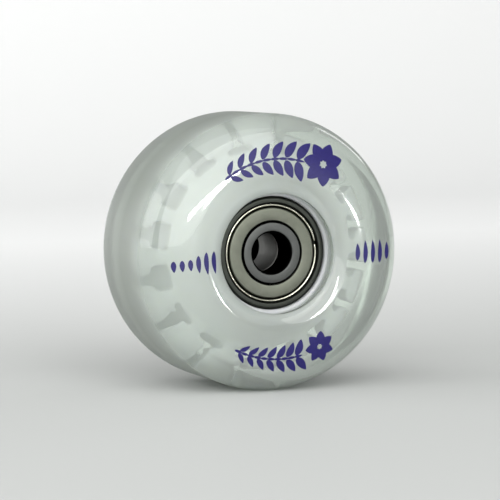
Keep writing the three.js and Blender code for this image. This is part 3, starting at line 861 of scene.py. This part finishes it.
def leaf(start, end, width, bow):
    """A pointed leaf between two (radius, angle) places, as rows of face points across its width. Bow
    bends it to one side."""
    rows, across = 14, 4
    vertices, faces = [], []
    for row in range(rows + 1):
        part = row / rows
        half = width / 2 * math.sin(math.pi * part ** 0.8) ** 0.75 if 0 < part < 1 else 0.0
        radius = start[0] + (end[0] - start[0]) * part
        angle = start[1] + (end[1] - start[1]) * part
        middle = Vector((radius * math.cos(angle), radius * math.sin(angle)))
        ahead = Vector((end[0] * math.cos(end[1]), end[0] * math.sin(end[1])))
        behind = Vector((start[0] * math.cos(start[1]), start[0] * math.sin(start[1])))
        sideways = (ahead - behind).normalized().orthogonal()
        middle += sideways * bow * math.sin(math.pi * part)
        for step in range(across + 1):
            spot = middle + sideways * half * (2 * step / across - 1)
            vertices.append(on_face(spot.length, math.atan2(spot.y, spot.x)))
    for row in range(rows):
        for step in range(across):
            here = row * (across + 1) + step
            faces.append((here, here + 1, here + across + 2, here + across + 1))
    return vertices, faces


def printed(name, shapes):
    """Joins the shapes into one piece of ink."""
    vertices, faces = [], []
    for more_vertices, more_faces in shapes:
        offset = len(vertices)
        vertices += more_vertices
        faces += [tuple(offset + index for index in face) for face in more_faces]
    piece = new_object(name, vertices, faces, 180)
    return settle(piece, "wheel", "print_ink", INK)


def sprig(name, from_angle, to_angle, radius, size):
    """A curved stem with paired leaves that grow towards its far end."""
    shapes = []
    sweep = to_angle - from_angle
    overlap, base_gap, bow = 1.25, 0.25, 0.12
    for step in range(SPRIG_STEM_STEPS):
        start = from_angle + sweep * step / SPRIG_STEM_STEPS
        end = from_angle + sweep * (step + overlap) / SPRIG_STEM_STEPS
        shapes.append(leaf((radius, start), (radius, end), SPRIG_STEM_WIDTH, 0.0))
    for pair in range(SPRIG_PAIRS):
        part = (pair + 0.5) / SPRIG_PAIRS
        angle = from_angle + sweep * part
        lean = sweep / SPRIG_PAIRS * 0.85
        length = size * (0.5 + 0.5 * part)
        for way in (1, -1):
            start = (radius + way * base_gap, angle)
            end = (radius + way * length, angle + lean)
            shapes.append(leaf(start, end, length * 0.5, bow * way))
    return printed(name, shapes)


def dashes(name, angle, first_radius, pitch, heights):
    """A row of upright lozenges along a radius, at an even pitch."""
    shapes = []
    for index, height in enumerate(heights):
        radius = first_radius + pitch * index
        spread = height / 2 / radius
        shapes.append(leaf((radius, angle - spread), (radius, angle + spread), DASH_WIDTH, 0.0))
    return printed(name, shapes)


def flower(name, radius, angle, size):
    """A flower of pointed petals round a place on the side face."""
    centre = Vector((radius * math.cos(angle), radius * math.sin(angle)))
    shapes = []
    for petal in range(FLOWER_PETALS):
        turn = 2 * math.pi * petal / FLOWER_PETALS + angle
        reach = Vector((math.cos(turn), math.sin(turn)))
        start, end = centre + reach * 0.14 * size, centre + reach * size
        ends = [(spot.length, math.atan2(spot.y, spot.x)) for spot in (start, end)]
        shapes.append(leaf(*ends, size * 0.62, 0.0))
    return printed(name, shapes)


def prints():
    """Plain ornaments where the wheel's side face carries print: no letters and no figures."""
    sprig("print_top", math.radians(128), math.radians(75), 18.4, 4.0)
    flower("print_top_flower", 19.4, math.radians(62), 4.3)
    sprig("print_bottom", math.radians(-117), math.radians(-77), 20.3, 3.3)
    flower("print_bottom_flower", 20.1, math.radians(-65), 3.1)
    dashes("print_left", math.radians(185), 13.6, 1.6, (4.4, 4.4, 3.4, 2.2, 2.2, 2.2))
    dashes("print_right", 0.0, 16.4, 1.7, (3.4, 4.6, 4.6, 4.6, 3.4))


# ------------------------------------------------------------------ stage, light and camera


def backdrop():
    """A pale floor that curves up into a wall behind the wheel."""
    wide, front, back, tall, bend = 2.4, -1.6, 1.1, 1.5, 0.5
    profile = [(front, 0.0), (back - bend, 0.0)]
    for step in range(1, 13):
        turn = math.pi / 2 * step / 12
        profile.append((back - bend + bend * math.sin(turn), bend * (1 - math.cos(turn))))
    profile.append((back, tall))
    vertices = []
    for y, z in profile:
        for x in (-wide, wide):
            vertices.append((x / MM, y / MM, z / MM + FLOOR_Z))
    faces = [(2 * i, 2 * i + 1, 2 * i + 3, 2 * i + 2) for i in range(len(profile) - 1)]
    piece = new_object("backdrop", vertices, faces)
    piece.data.materials.append(floor_paint())


def direction(azimuth, elevation):
    """A unit vector towards a place at an azimuth from -Y towards +X and an elevation, in degrees."""
    around, rise = math.radians(azimuth), math.radians(elevation)
    flat = math.cos(rise)
    return Vector((math.sin(around) * flat, -math.cos(around) * flat, math.sin(rise)))


def softbox(name, azimuth, elevation, distance, wide, tall, power):
    """A rectangular light that faces the wheel, in degrees, metres and watts."""
    data = bpy.data.lights.new(name, "AREA")
    data.shape = "RECTANGLE"
    data.size, data.size_y = wide, tall
    data.energy = power
    lamp = bpy.data.objects.new(name, data)
    towards = direction(azimuth, elevation)
    lamp.location = towards * distance
    lamp.rotation_mode = "QUATERNION"
    lamp.rotation_quaternion = towards.to_track_quat("Z", "Y")
    bpy.context.scene.collection.objects.link(lamp)


def lights():
    softbox("window_high", 6, 6.2, 0.9, 0.34, 0.03, 0.9)
    softbox("window_low", 13, 3.8, 0.9, 0.10, 0.05, 0.35)
    softbox("left", -100, 20, 1.0, 0.9, 0.7, 4.5)
    softbox("right", 120, 30, 0.9, 0.12, 0.35, 0.3)
    softbox("overhead", -35, 58, 1.4, 1.8, 1.3, 7.5)
    softbox("key", -18, 24, 1.5, 2.2, 1.5, 25.0)
    softbox("low_right", 29, -1, 0.9, 0.05, 0.02, 0.3)
    world = bpy.data.worlds.new("studio")
    world.use_nodes = True
    sky = world.node_tree.nodes["Background"]
    sky.inputs["Color"].default_value = (0.94, 0.96, 0.94, 1)
    sky.inputs["Strength"].default_value = 0.54
    bpy.context.scene.world = world


def camera():
    """Half a metre from the wheel, 22 degrees to its left and 4.4 degrees above."""
    distance = 0.5
    sensor, frame_width = 36.0, 500
    pixels_per_mm = 5.05
    back = direction(-22, 4.4)
    data = bpy.data.cameras.new("camera")
    data.sensor_width = sensor
    data.lens = pixels_per_mm * distance / MM * sensor / frame_width
    data.shift_x, data.shift_y = 0.0022, -0.003
    data.clip_start, data.clip_end = 0.01, 20.0
    view = bpy.data.objects.new("camera", data)
    view.location = back * distance
    view.rotation_mode = "QUATERNION"
    view.rotation_quaternion = back.to_track_quat("Z", "Y")
    bpy.context.scene.collection.objects.link(view)
    bpy.context.scene.camera = view


def render_settings():
    scene = bpy.context.scene
    scene.view_settings.view_transform = "Standard"
    scene.cycles.use_denoising = True
    scene.cycles.max_bounces = 24
    scene.cycles.transmission_bounces = 16
    scene.cycles.diffuse_bounces = 6
    scene.cycles.caustics_refractive = True
    scene.cycles.caustics_reflective = False


# ------------------------------------------------------------------ the wheel

tyre()
core()
bearing("front", -1)
bearing("rear", 1)
spacer()
magnet()
cartridge()
prints()
backdrop()
lights()
camera()
render_settings()
